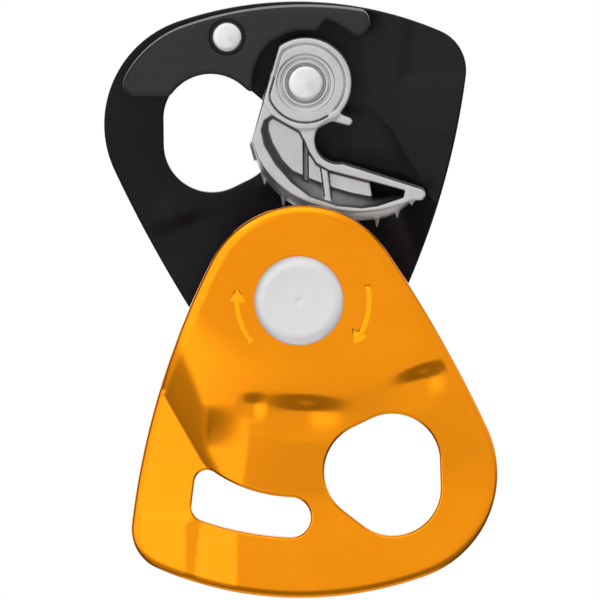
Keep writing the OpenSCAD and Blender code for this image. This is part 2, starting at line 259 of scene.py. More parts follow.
def surface(name, dark, light, roughness, metallic=0.0, grain=2500, grain_depth=0.0,
            mottle=60, turned_about=None, ring_pitch=0.35, ring_depth=0.0, specular=0.5,
            coat=0.0, anisotropic=0.0, wall=None):
    """A procedural finish: mottled colour, uneven gloss, fine grain and, if turned, tool rings; a wall
    colour adds painted shade where the mesh's 'wall' attribute marks it.
    """
    material, tree, shader = blank_material(name)
    broad = noise(tree, mottle, 3)
    fine = noise(tree, grain, 4)
    tree.links.new(tint(tree, remap(tree, broad, 0, 1), dark, light), shader.inputs["Base Color"])
    uneven = add_node(tree, "ShaderNodeMath", {0: broad, 1: fine}, operation="ADD").outputs[0]
    tree.links.new(remap(tree, uneven, roughness[0], roughness[1], 0.7, 1.3),
                   shader.inputs["Roughness"])
    normal = bump(tree, fine, grain_depth * MM) if grain_depth else None
    if turned_about is not None:
        where = add_node(tree, "ShaderNodeTexCoord").outputs["Object"]
        offset = add_node(tree, "ShaderNodeVectorMath", {0: where, 1: tuple(-v for v in turned_about)},
                          operation="ADD").outputs[0]
        flat = add_node(tree, "ShaderNodeVectorMath", {0: offset, 1: (1, 0, 1)},
                        operation="MULTIPLY").outputs[0]
        radius = add_node(tree, "ShaderNodeVectorMath", {0: flat}, operation="LENGTH")
        rings = add_node(tree, "ShaderNodeMath", {0: radius.outputs["Value"],
                                                  1: 2 * math.pi / (ring_pitch * MM)},
                         operation="MULTIPLY").outputs[0]
        wave = add_node(tree, "ShaderNodeMath", {0: rings}, operation="SINE").outputs[0]
        normal = bump(tree, wave, ring_depth * MM, normal)
    if normal is not None:
        tree.links.new(normal, shader.inputs["Normal"])
    # Painted shade: the wall colour replaces the base colour by the mesh's 'wall' attribute, darkening
    # pocket walls and recesses.
    if wall is not None:
        mask = add_node(tree, "ShaderNodeAttribute", attribute_name="wall").outputs["Fac"]
        mix = add_node(tree, "ShaderNodeMix", data_type="RGBA")
        tree.links.new(mask, mix.inputs[0])
        tree.links.new(shader.inputs["Base Color"].links[0].from_socket, mix.inputs[6])
        mix.inputs[7].default_value = (*wall, 1)
        tree.links.new(mix.outputs[2], shader.inputs["Base Color"])
    shader.inputs["Metallic"].default_value = metallic
    shader.inputs["Specular IOR Level"].default_value = specular
    shader.inputs["Coat Weight"].default_value = coat
    shader.inputs["Coat Roughness"].default_value = 0.08
    if anisotropic:
        shader.inputs["Anisotropic"].default_value = anisotropic
        tangent = add_node(tree, "ShaderNodeTangent", direction_type="RADIAL", axis="Y")
        tree.links.new(tangent.outputs[0], shader.inputs["Tangent"])
    return material


axle_at = tuple(AXLE)
cam_axle_at = tuple(place([CAM_PIVOT[0], 0, CAM_PIVOT[1]]))
orange = surface("orange_anodised_plate", (0.88, 0.272, 0.0), (0.94, 0.298, 0.0), (0.11, 0.17),
                 metallic=1.0, grain=3500, grain_depth=0.0012, mottle=45, coat=0.16)
black = surface("black_anodised_plate", (0.005, 0.005, 0.007), (0.007, 0.007, 0.010), (0.22, 0.3),
                metallic=0.0, grain=4000, grain_depth=0.0015, mottle=50, specular=0.14)
axle_steel = surface("axle_satin_steel", (0.73, 0.72, 0.73), (0.79, 0.78, 0.79), (0.42, 0.5),
                     metallic=0.35, grain=5000, grain_depth=0.002, mottle=120,
                     turned_about=axle_at, ring_pitch=0.28, ring_depth=0.0008)
rivet_steel = surface("turned_rivet_steel", (0.70, 0.70, 0.71), (0.78, 0.78, 0.79), (0.3, 0.38),
                      metallic=0.9, grain=4500, grain_depth=0.003, mottle=300,
                      turned_about=cam_axle_at, ring_pitch=0.3, ring_depth=0.002, anisotropic=0.75)
# Its wall colour is painted shade for the cam's pocket walls and gutter.
cam_steel = surface("cast_cam_steel", (0.50, 0.50, 0.505), (0.58, 0.58, 0.585), (0.34, 0.44),
                    metallic=0.9, grain=3200, grain_depth=0.012, mottle=220, wall=(0.17, 0.17, 0.175))
hard_steel = surface("bearing_steel", (0.55, 0.55, 0.57), (0.62, 0.62, 0.64), (0.18, 0.26),
                     metallic=1.0, grain=5000, grain_depth=0.001, mottle=200,
                     turned_about=axle_at, ring_pitch=0.2, ring_depth=0.0006)
spring_steel = surface("spring_wire", (0.5, 0.5, 0.52), (0.6, 0.6, 0.62), (0.25, 0.35),
                       metallic=1.0, grain=3000, grain_depth=0.002, mottle=300)
brass = surface("cage_brass", (0.62, 0.42, 0.14), (0.72, 0.5, 0.2), (0.28, 0.36),
                metallic=1.0, grain=3000, grain_depth=0.002, mottle=200)
alloy = surface("sheave_turned_aluminium", (0.62, 0.63, 0.65), (0.7, 0.71, 0.73), (0.26, 0.36),
                metallic=1.0, grain=3000, grain_depth=0.002, mottle=150,
                turned_about=axle_at, ring_pitch=0.32, ring_depth=0.002)
rubber = surface("seal_rubber", (0.012, 0.012, 0.013), (0.02, 0.02, 0.021), (0.55, 0.7),
                 grain=2500, grain_depth=0.006, mottle=200, specular=0.35)
nylon = surface("moulded_black_nylon", (0.012, 0.012, 0.0125), (0.017, 0.017, 0.0175), (0.42, 0.52),
                grain=2600, grain_depth=0.008, mottle=90, specular=0.35)
white_plastic = surface("white_acetal", (0.78, 0.78, 0.76), (0.84, 0.84, 0.82), (0.4, 0.5),
                        grain=2500, grain_depth=0.003, mottle=150)


# ------------------------------------------------------------------ side plates
# Attachment end up, heights measured outwards from the middle of the gap between the plates.
BOWS = [133, 61, 210]
BACK_PLATE = Outline([(-0.5, 1.1, 16.8), (20.7, 37.4, 7.1), (-14.3, 28.3, 18.1)], BOWS)
FRONT_PLATE = Outline([(-0.5, 1.1, 16.8), (20.7, 38.3, 7.1), (-14.8, 29, 18.1)], BOWS)
BACK_HOLE = Outline([(-1.25, -2.1, 8), (1.2, -0.55, 8.3), (-1.4, 2.2, 7.9)],
                    [0, 0, 0]).moved(np.array([-13.2, 27.0]))
FRONT_HOLE = Outline([(-1.35, -2.4, 7.9), (1.65, -0.6, 8.2), (-1.45, 2.1, 7.95)],
                     [0, 0, 0]).moved(np.array([-14.05, 29.2]))
WINDOW = Outline([(1.4, 36.2, 3.35), (15.2, 30.5, 2.1), (15.35, 34.5, 2.45)], [-24.5, 0, 53.6])
TRIM = 0.01              # keeps the meshes just inside the CAD's box
PLATE_T = 2.5
SHEAVE_LEVEL, ATTACH_LEVEL, LOW_LEVEL = 9.4, 7.2, 6.6
PLATEAU_CENTRE, PLATEAU_R = np.array([-4.35, -19.0]), 34.0
EDGE_ROUND = 0.42
EDGE_ROLL_W, EDGE_ROLL = 1.7, 0.34
SPACER_RIVET = (-11.9, 43.3)
ENGRAVED_DEPTH, ENGRAVED_LIP = 0.11, 0.2

# Ledges left by the forming tool: u and w, direction, half length, half width and depth
DENTS = [(-1.2, 17, -4, 4.6, 1.5, 0.4),
         (7.4, 16.2, 0, 1.5, 1.0, 0.2),
         (-19.9, 11.9, 20, 3.6, 1.4, 0.45)]


def pressed_level(u, w):
    """Height of a plate's outer surface; u and w are x and z with the attachment end up."""
    along = np.hypot(u - PLATEAU_CENTRE[0], w - PLATEAU_CENTRE[1]) - PLATEAU_R
    drop = 0.1 * (along + 2)
    level = SHEAVE_LEVEL - smooth_min(smooth_max(drop, 0 * drop, 0.3),
                                      SHEAVE_LEVEL - ATTACH_LEVEL, 0.3)
    # Low pocket beside the cam: the wall along the hole and the wall across its upper corner
    upper = 8.1 + 0.12 * np.clip(w - 18, 0, 20)
    lower = 14.9 + 0.13 * np.clip(w - 28, 0, 16)
    past = smooth_min(smooth_max(u - upper, 0 * u, 0.5), lower - upper, 0.5)
    fall = (ATTACH_LEVEL - LOW_LEVEL) * past / (lower - upper) * smoothstep(w, 17, 25)
    away = np.maximum(27.3 - 0.86 * u - 0.51 * w, 0)
    wall = np.maximum(0.42 * away - 0.008 * np.minimum(away, 12) ** 2,
                      0.16 * np.maximum(lower - u, 0))
    level = smooth_min(level - fall, LOW_LEVEL + wall, 0.2)
    for x, z, angle, long_r, short_r, depth in DENTS:
        c, s = math.cos(math.radians(angle)), math.sin(math.radians(angle))
        du, dw = u - x, w - z
        across = c * dw - s * du
        ledge = (smoothstep(across, -short_r, short_r)
                 * (1 - smoothstep(across, short_r, 4.5 * short_r)))
        level = level - depth * np.exp(-((c * du + s * dw) / long_r) ** 2) * ledge
    # Flank that falls away from the pocket towards the edge
    bend = np.maximum((27.3 - 0.51 * w) / 0.86, 15.4) + 3.7 * smoothstep(w, 34, 38)
    return level - 0.12 * smooth_max(u - bend, 0 * u, 0.5) * smoothstep(w, 9, 17)


def edge_roll(distance):
    """How far the outer surface curls inwards near the outline."""
    return EDGE_ROLL * np.clip(1 - distance / EDGE_ROLL_W, 0, 1) ** 2


class Sheet:
    """A plate's outer (side 1) and inner (side -1) surface, with the outer edge rolled over."""

    def __init__(self, outline):
        self.loop = outline.points(TRIM)

    def height(self, uw, side):
        level = pressed_level(uw[:, 0], uw[:, 1])
        if side < 0:
            return level - PLATE_T
        return level - edge_roll(-polygon_distance(self.loop, uw[:, 0], uw[:, 1]))

    def normal(self, uw, side, eps=0.03):
        slopes = [(self.height(uw + step, side) - self.height(uw - step, side)) / (2 * eps)
                  for step in (np.array([eps, 0]), np.array([0, eps]))]
        normal = np.column_stack([-slopes[0], -slopes[1], np.ones(len(uw))])
        return side * normal / np.linalg.norm(normal, axis=1, keepdims=True)


def triangulate(outer, holes, spacing):
    """Fills a region with small triangles; returns the added inner points and the triangles."""
    low, high = outer.min(0), outer.max(0)
    rows = np.arange(low[1], high[1], spacing * 0.866)
    grid = [np.stack([np.arange(low[0] + spacing / 2 * (k % 2), high[0], spacing),
                      np.full_like(np.arange(low[0] + spacing / 2 * (k % 2), high[0], spacing), row)],
                     -1) for k, row in enumerate(rows)]
    grid = np.concatenate(grid)
    keep = inside(grid, outer)
    for hole in holes:
        keep &= ~inside(grid, hole)
    grid = grid[keep]
    rim = np.concatenate([outer, *holes])
    margin = spacing * 0.55
    near = np.zeros(len(grid), bool)
    for start in range(0, len(grid), 2000):
        block = grid[start:start + 2000]
        gap = np.min((block[:, None, 0] - rim[None, :, 0]) ** 2
                     + (block[:, None, 1] - rim[None, :, 1]) ** 2, axis=1)
        near[start:start + 2000] = gap < margin * margin
    grid = grid[~near]
    edges, base = [], 0
    for loop in [outer, *holes]:
        count = len(loop)
        edges += [(base + k, base + (k + 1) % count) for k in range(count)]
        base += count
    points = np.concatenate([rim, grid])
    found = geometry.delaunay_2d_cdt([Vector(p) for p in points.tolist()], edges, [], 0, 1e-7)
    triangles = np.array(found[2])
    if len(found[0]) != len(points):
        raise RuntimeError("the plate's outline crosses itself")
    centres = points[triangles].mean(1)
    keep = inside(centres, outer)
    for hole in holes:
        keep &= ~inside(centres, hole)
    return grid, triangles[keep]


def arrow_loop(radius, tail, head, tip, half_width=0.5, head_half=1.6):
    """Outline of a curved arrow about the axle, from the tail's direction to the tip's."""
    steps = 14
    shaft = np.linspace(tail, head, steps)
    outer = turned(shaft, np.full(steps, radius + half_width))
    inner = turned(shaft[::-1], np.full(steps, radius - half_width))
    point = [turned(head, radius + head_half), turned(tip, radius), turned(head, radius - head_half)]
    return np.concatenate([outer, point, inner])


def tilted(normals):
    """Shading normals of an engraved mark's floor, leant to one side like a tool cut."""
    return normals + np.array([0.16, 0, 0])


def signed_area(loop):
    ahead = np.roll(loop, -1, axis=0)
    return 0.5 * np.sum(loop[:, 0] * ahead[:, 1] - ahead[:, 0] * loop[:, 1])


def inset_loop(loop, distance):
    """A counter-clockwise loop moved inwards along its corner normals."""
    ahead = np.roll(loop, -1, axis=0) - loop
    ahead /= np.linalg.norm(ahead, axis=1, keepdims=True)
    out = np.stack([ahead[:, 1], -ahead[:, 0]], -1)
    corner = out + np.roll(out, 1, axis=0)
    corner /= np.maximum(np.sum(corner * corner, 1, keepdims=True), 0.3) / 2
    return loop - distance * corner, corner


def side_plate(name, outline, body, material, holes, bores, to_view, engravings=(),
               spacing=0.62):
    """Pressed sheet with rounded edges, from its outline, its holes and the pressed heights."""
    points, normals, faces = [], [], []
    count = 0
    sheet = Sheet(outline)

    def add(uw, height, normal):
        nonlocal count
        points.append(np.column_stack([uw, height]))
        normals.append(normal)
        count += len(uw)
        return np.arange(count - len(uw), count)

    def bridge(a, b):
        for k in range(len(a)):
            faces.append((a[k], a[(k + 1) % len(a)], b[(k + 1) % len(a)], b[k]))

    rims = [(outline, 1)] + [(loop, -1) for loop in holes] + [(loop, -1) for loop in bores]
    rounds = [EDGE_ROUND] * (1 + len(holes)) + [0.15] * len(bores)
    strip_steps = 5
    face_loops = {1: [], -1: []}
    for (rim, way), rounding in zip(rims, rounds):
        previous = None
        for side, k in [(1, k) for k in range(strip_steps, -1, -1)] + \
                       [(-1, k) for k in range(strip_steps + 1)]:
            angle = math.pi / 2 * k / strip_steps
            uw = rim.points(way * (TRIM + rounding * (1 - math.cos(angle))))
            height = sheet.height(uw, side) - side * rounding * (1 - math.sin(angle))
            flat = sheet.normal(uw, side)
            wall = np.column_stack([way * rim.normal, np.zeros(len(uw))])
            loop = add(uw, height, math.cos(angle) * wall + math.sin(angle) * flat)
            if previous is not None:
                bridge(previous, loop)
            previous = loop
            if k == strip_steps:
                face_loops[side].append(loop)
    for side in (1, -1):
        loops = face_loops[side]
        extra = []
        if side > 0:
            for loop in engravings:
                loop = loop if signed_area(loop) > 0 else loop[::-1]
                level = sheet.height(loop, 1)
                flat = sheet.normal(loop, 1)
                low, out = inset_loop(loop, ENGRAVED_LIP)
                lean = np.column_stack([-0.24 * out, np.full(len(out), 1.0)])
                top = add(loop, level, flat)
                lip = add(loop, level - 0.004, lean)
                foot = add(low, level - ENGRAVED_DEPTH, lean)
                floor = add(low, level - ENGRAVED_DEPTH - 0.004, tilted(flat))
                bridge(top, lip)
                bridge(lip, foot)
                bridge(foot, floor)
                inner_floor, triangles = triangulate(low, [], 0.5)
                index = floor
                if len(inner_floor):
                    level = sheet.height(inner_floor, 1) - ENGRAVED_DEPTH - 0.004
                    flat = sheet.normal(inner_floor, 1)
                    index = np.concatenate([floor, add(inner_floor, level, tilted(flat))])
                faces.extend(index[triangles].tolist())
                extra.append(top)
        stacked = np.concatenate(points)[:, :2]
        rings = [stacked[loop] for loop in loops + extra]
        inner, triangles = triangulate(rings[0], rings[1:], spacing)
        filled = add(inner, sheet.height(inner, side), sheet.normal(inner, side))
        index = np.concatenate([*loops, *extra, filled])
        faces.extend(index[triangles].tolist())
    stacked, leaning = np.concatenate(points), np.concatenate(normals)
    leaning /= np.linalg.norm(leaning, axis=1, keepdims=True)
    places, directions = to_view(stacked), to_view(leaning)
    fixed = []
    for face in faces:
        a, b, c = places[list(face[:3])]
        lean = directions[list(face)].sum(0)
        fixed.append(face if np.dot(np.cross(b - a, c - a), lean) > 0 else face[::-1])
    return piece(name + "_shell", places, fixed, body, material, [name], directions)


def as_front_plate(p):
    """Attachment end up to the front plate's rest position: half a turn about the axle."""
    return np.column_stack([-p[:, 0], -p[:, 2], -p[:, 1]])


def as_back_plate(p):
    return np.column_stack([p[:, 0], p[:, 2], p[:, 1]])


def add_plates():
    # Arrows are given as seen at rest, so they are turned half a turn with the plate
    arrows = [-arrow_loop(10.4, 221, 182, 167), -arrow_loop(11.5, 13, -27.5, -39.5)]
    side_plate("front_plate", FRONT_PLATE, "front_plate", orange,
               [FRONT_HOLE, WINDOW], [circle_outline((0, 0), 4.77, 72)],
               as_front_plate, arrows)
    side_plate("back_plate", BACK_PLATE, "frame", black, [BACK_HOLE],
               [circle_outline((0, 0), 3.02, 48), circle_outline(CAM_PIVOT, 2.52, 48),
                circle_outline(SPACER_RIVET, 1.52, 32),
                circle_outline(CAM_PIVOT + turned(200, 4.75), 0.47, 16)],
               as_back_plate)


# ------------------------------------------------------------------ turned pieces
def rounded_profile(corners):
    """Polyline of (radius, y, rounding) corners with each corner rounded by an arc."""
    result = []
    count = len(corners)
    for k, (r, y, rounding) in enumerate(corners):
        here = np.array([r, y], float)
        before = np.array(corners[k - 1][:2], float) - here
        after = np.array(corners[(k + 1) % count][:2], float) - here
        if rounding == 0:
            result.append(here)
            continue
        before /= np.linalg.norm(before)
        after /= np.linalg.norm(after)
        half = math.acos(max(-1.0, min(1.0, float(before @ after)))) / 2
        reach = rounding / math.tan(half)
        middle = before + after
        centre = here + middle / np.linalg.norm(middle) * rounding / math.sin(half)
        start, end = here + before * reach - centre, here + after * reach - centre
        first = math.atan2(start[1], start[0])
        sweep = (math.atan2(end[1], end[0]) - first + math.pi) % (2 * math.pi) - math.pi
        steps = max(2, math.ceil(abs(sweep) / 0.25))
        for j in range(steps + 1):
            angle = first + sweep * j / steps
            result.append(centre + rounding * np.array([math.cos(angle), math.sin(angle)]))
    return np.array(result)


def lathe(name, corners, body, material, replaces=(), centre=(0, 0), steps=96, ring=True):
    """Turns a profile about a Y axis; ring=False closes it on the axis at both ends."""
    profile = rounded_profile(corners) if ring else np.array(corners, float)[:, :2]
    angles = np.arange(steps) * 2 * math.pi / steps
    points, faces = [], []
    rows = []
    for r, y in profile:
        if r < 1e-6:
            rows.append([len(points)])
            points.append((centre[0], y, centre[1]))
        else:
            rows.append(list(range(len(points), len(points) + steps)))
            points += [(centre[0] + r * math.cos(a), y, centre[1] + r * math.sin(a)) for a in angles]
    pairs = list(zip(rows, rows[1:])) + ([(rows[-1], rows[0])] if ring else [])
    for a, b in pairs:
        for k in range(steps):
            n = (k + 1) % steps
            quad = [a[k % len(a)], a[n % len(a)], b[n % len(b)], b[k % len(b)]]
            face = list(dict.fromkeys(quad))
            if len(face) > 2:
                faces.append(face)
    obj = piece(name, points, faces, body, material, replaces)
    mesh = obj.data
    work = bmesh.new()
    work.from_mesh(mesh)
    bmesh.ops.recalc_face_normals(work, faces=work.faces)
    work.to_mesh(mesh)
    work.free()
    mesh.set_sharp_from_angle(angle=math.radians(35))
    return obj


def washer(name, r_in, r_out, y0, y1, rounding, body, material, centre=(0, 0)):
    corners = [(r_in, y0, rounding), (r_out, y0, rounding), (r_out, y1, rounding),
               (r_in, y1, rounding)]
    lathe(name + "_turned", corners, body, material, [name], centre)


def race_groove(directions):
    """Arc of a bearing race's groove about the middle of a ball."""
    ball_path_r, groove_r = 4.75, 1.05
    return [(ball_path_r + groove_r * math.cos(a), groove_r * math.sin(a), 0)
            for a in np.radians(directions)]


def add_turned():
    low, high = box_mm("main_axle")
    face, tail = low[1], high[1]
    head = [(0.0, face + 0.30), (0.35, face + 0.26), (0.6, face + 0.17)]
    head += [(r, face + 0.16 - 0.16 * (r / 5.6) ** 3) for r in (1, 2, 3, 4, 4.8, 5.3, 5.6)]
    head += [(5.6 + 1.8 * math.sin(a), face + 1.0 * (1 - math.cos(a)))
             for a in np.radians([10, 20, 30, 40, 50, 60, 70, 78, 84, 90])]
    head += [(7.4, -9.85), (7.3, -9.75), (3.0, -9.75), (3.0, 9.4), (5.45, 9.4), (5.6, 9.5),
             (5.6, 10.05), (5.5, 10.25), (4.1, tail - 0.06), (3.9, tail), (1.1, tail),
             (0.9, tail - 0.25), (0, tail - 0.35)]
    lathe("main_axle_turned", head, "frame", axle_steel, ["main_axle"], steps=128, ring=False)
    low, high = box_mm("cam_axle")
    pivot = CAM_PIVOT
    rivet = [(0, -3.96), (0.5, -3.93), (1.2, -3.89), (2.0, -3.85), (2.45, -3.83), (2.7, -3.77),
             (2.88, -3.66), (2.98, -3.5), (3.02, -3.3), (3.05, -3.1), (3.02, -2.95), (2.95, -2.9),
             (2.5, -2.9), (2.5, 7.2), (4.25, 7.2), (4.4, 7.35), (4.4, 7.9), (4.25, 8.15),
             (3.9, high[1] - 0.08), (3.3, high[1]), (0, high[1])]
    lathe("cam_axle_turned", rivet, "frame", rivet_steel, ["cam_axle"], pivot, 96, False)
    low, high = box_mm("spacer_rivet")
    where = ((low[0] + high[0]) / 2, (low[2] + high[2]) / 2)
    rivet = [(0, -4.38), (0.5, -4.36), (1.5, -4.32), (2.05, -4.28), (2.3, -4.2), (2.46, -4.05),
             (2.54, -3.85), (2.56, -3.6), (2.56, -3.25), (2.5, -3.2), (1.5, -3.2), (1.5, 7.2),
             (2.45, 7.2), (2.56, 7.3), (2.56, 7.75), (2.4, 7.98), (2.0, high[1]), (0, high[1])]
    lathe("spacer_rivet_turned", rivet, "frame", rivet_steel, ["spacer_rivet"], where, 72,
          False)
    washer("friction_washer", 4.17, 6.7, -9.75, -9.45, 0.08, "frame", white_plastic)
    washer("front_sleeve", 3.02, 4.15, -9.75, -2.5, 0.15, "frame", hard_steel)
    washer("rear_sleeve", 3.02, 4.15, 2.5, 6.9, 0.15, "frame", hard_steel)
    washer("front_thrust_washer", 4.17, 7, -6.85, -6.55, 0.1, "frame", white_plastic)
    washer("rear_thrust_washer", 4.17, 7, 6.6, 6.9, 0.1, "frame", white_plastic)
    washer("front_plate_bush", 4.2, 4.75, -9.4, -6.9, 0.1, "front_plate", hard_steel)
    washer("cam_washer", 2.52, 4.2, 3.95, 4.7, 0.15, "frame", hard_steel, CAM_PIVOT)
    washer("bearing_front_seal", 4.0, 5.53, -2.35, -1.95, 0.08, "sheave", rubber)
    washer("bearing_rear_seal", 4.0, 5.53, 1.95, 2.35, 0.08, "sheave", rubber)
    groove = race_groove(range(138, 223, 12))
    lathe("bearing_inner_race_turned", [(3.02, 2.5, 0.15), (3.02, -2.5, 0.15), (3.95, -2.5, 0.15)]
          + groove[::-1] + [(3.95, 2.5, 0.15)], "frame", hard_steel,
          ["bearing_inner_race"])
    groove = race_groove(range(-40, 41, 10))
    lathe("bearing_outer_race_turned", [(6.5, 2.5, 0.15), (6.5, -2.5, 0.15), (5.55, -2.5, 0.15)]
          + groove + [(5.55, 2.5, 0.15)], "sheave", hard_steel,
          ["bearing_outer_race"])
    tread = [(13.9 - 5.4 * math.cos(a), 5.4 * math.sin(a), 0) for a in np.radians(
        np.arange(-76, 77, 8))]
    lathe("sheave_turned", [(6.52, 2.5, 0), (6.52, -6.5, 0.3), (13.45, -6.5, 0.4),
                            (13.45, -5.6, 0.25)] + tread
          + [(13.45, 5.6, 0.25), (13.45, 6.5, 0.4), (5.7, 6.5, 0.3), (5.7, 2.5, 0.1)],
          "sheave", alloy, ["sheave"])


def add_spring():
    """Torsion spring's wire as one swept tube: the coil, then the leg into the back plate."""
    wire_r, coil_r, turns, leg = 0.42, 4.75, 2.5, 200
    rear_y = 3.9 - wire_r - 0.1
    t = np.linspace(0, turns, 121)
    angles = np.concatenate([leg + 20 + 360 * (turns - t), [leg + 14, leg + 8, leg + 3, leg, leg, leg]])
    heights = np.concatenate([rear_y - (2 * wire_r + 0.08) * (turns - t),
                              [rear_y + 0.03, rear_y + 0.15, rear_y + 0.4, rear_y + 0.8, 4.7, 5.7]])
    curve = bpy.data.curves.new("cam_spring_wire", "CURVE")
    curve.dimensions = "3D"
    curve.bevel_depth = wire_r * MM * 0.98
    curve.bevel_resolution = 4
    curve.use_fill_caps = True
    spline = curve.splines.new("POLY")
    spline.points.add(len(angles) - 1)
    flat = turned(angles, np.full(len(angles), coil_r)) + CAM_PIVOT
    for point, at in zip(spline.points, place(np.column_stack([flat[:, 0], heights, flat[:, 1]]))):
        point.co = (*at, 1)
    obj = bpy.data.objects.new("cam_spring_wire", curve)
    bpy.context.scene.collection.objects.link(obj)
    curve.materials.append(spring_steel)
    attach(obj, "frame")
    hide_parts("cam_spring")


# ------------------------------------------------------------------ shapes from distance fields
def sample(field, low, step, points):
    """Trilinear value of a grid field at points."""
    at = (points - low) / step
    cell = np.clip(np.floor(at).astype(int), 0, np.array(field.shape) - 2)
    f = at - cell
    total = 0
    for corner in np.ndindex(2, 2, 2):
        weight = np.prod(np.where(corner, f, 1 - f), axis=1)
        total = total + weight * field[tuple((cell + corner).T)]
    return total


def surface_net(field, low, step):
    """Mesh of the zero level of a grid field (negative inside), with smooth normals."""
    solid = field < 0
    shape = np.array(field.shape) - 1
    total = np.zeros((*shape, 3))
    count = np.zeros(shape)
    views = {c: tuple(slice(c[k], c[k] + shape[k]) for k in range(3)) for c in np.ndindex(2, 2, 2)}
    for axis in range(3):
        for c in np.ndindex(2, 2, 2):
            if c[axis]:
                continue
            d = tuple(c[k] + (k == axis) for k in range(3))
            a, b = field[views[c]], field[views[d]]
            cut = solid[views[c]] != solid[views[d]]
            t = np.where(cut, a / np.where(cut, a - b, 1), 0)
            for k in range(3):
                total[..., k] += np.where(cut, c[k] + (t if k == axis else 0), 0)
            count += cut
    cells = np.argwhere(count > 0)
    number = np.full(shape, -1)
    number[tuple(cells.T)] = np.arange(len(cells))
    picked = tuple(cells.T)
    points = low + (cells + total[picked] / count[picked][:, None]) * step
    faces = []
    for axis in range(3):
        other = [(axis + 1) % 3, (axis + 2) % 3]
        first = [slice(1, -1)] * 3
        first[axis] = slice(0, -1)
        second = list(first)
        second[axis] = slice(1, None)
        cut = solid[tuple(first)] != solid[tuple(second)]
        at = np.argwhere(cut) + [0 if k == axis else 1 for k in range(3)]
        corners = []
        for da, db in ((0, 0), (-1, 0), (-1, -1), (0, -1)):
            cell = at.copy()
            cell[:, other[0]] += da
            cell[:, other[1]] += db
            corners.append(number[tuple(cell.T)])
        quads = np.stack(corners, -1)
        flip = ~solid[tuple(at.T)]
        quads[flip] = quads[flip][:, ::-1]
        faces.append(quads)
    faces = np.concatenate(faces)
    slopes = np.gradient(field, *step)
    for _ in range(2):
        slope = np.stack([sample(g, low, step, points) for g in slopes], -1)
        value = sample(field, low, step, points)
        move = value[:, None] * slope / np.maximum(np.sum(slope * slope, 1), 0.1)[:, None]
        points = points - np.clip(move, -0.1, 0.1)
    slope = np.stack([sample(g, low, step, points) for g in slopes], -1)
    return points, faces, slope / np.maximum(np.linalg.norm(slope, axis=1), 1e-9)[:, None]


def slab_distance(flat, y, y0, y1, rounding):
    """Front-view distance field extruded from y0 to y1 with rounded edges."""
    a = flat + rounding
    b = np.abs(y - (y0 + y1) / 2) - (y1 - y0) / 2 + rounding
    return (np.minimum(np.maximum(a, b), 0)
            + np.sqrt(np.maximum(a, 0) ** 2 + np.maximum(b, 0) ** 2) - rounding)


def cone_distance(x, y, z, start, end, r0, r1):
    """A straight spike from start, radius r0, to end, radius r1."""
    start, end = np.array(start, float), np.array(end, float)
    axis = end - start
    length = np.linalg.norm(axis)
    dx, dy, dz = x - start[0], y - start[1], z - start[2]
    t = np.clip((dx * axis[0] + dy * axis[1] + dz * axis[2]) / length ** 2, 0, 1)
    return np.sqrt((dx - t * axis[0]) ** 2 + (dy - t * axis[1]) ** 2
                   + (dz - t * axis[2]) ** 2) - (r0 + (r1 - r0) * t)


SPIRAL_START, SPIRAL_END, HEEL_R, SPIRAL_RATE = -133.0, -47.0, 13.0, 0.155
FLAT_DIRECTION, FLAT_DISTANCE = 164, 5.95
# Direction of each row of teeth from the cam axle
TEETH = [-129, -116, -102, -89.5, -79, -69.5, -60.5, -53, -47.5]
CROWN = 1.7


def spiral_r(direction):
    return HEEL_R + SPIRAL_RATE * (direction - SPIRAL_START)


def swell(direction):
    """Share of the full crown that the gripping face has in a direction from the cam axle."""
    ends = np.minimum((direction - SPIRAL_START) / 40, (SPIRAL_END - direction) / 14)
    return np.sin(np.pi / 2 * np.clip(ends, 0, 1))


def cam_arm(crown):
    """Front view of the arm, its gripping face grown outwards by crown."""
    boss_r, neck, neck_r, tip, tip_r = 7.6, np.array([6.5, 26.1]), 3.9, np.array([20, 17.15]), 0.95
    face = np.arange(SPIRAL_START, SPIRAL_END + 0.1, 1.5)
    grown = spiral_r(face) + crown * swell(face)
    return np.concatenate([
        [CAM_PIVOT, CAM_PIVOT + turned(FLAT_DIRECTION, boss_r)],
        CAM_PIVOT + turned(face, grown),
        tip + turned(np.arange(-75, 76, 15), np.full(11, tip_r)),
        neck + turned(np.arange(-81, -262, -6), np.full(31, neck_r))])


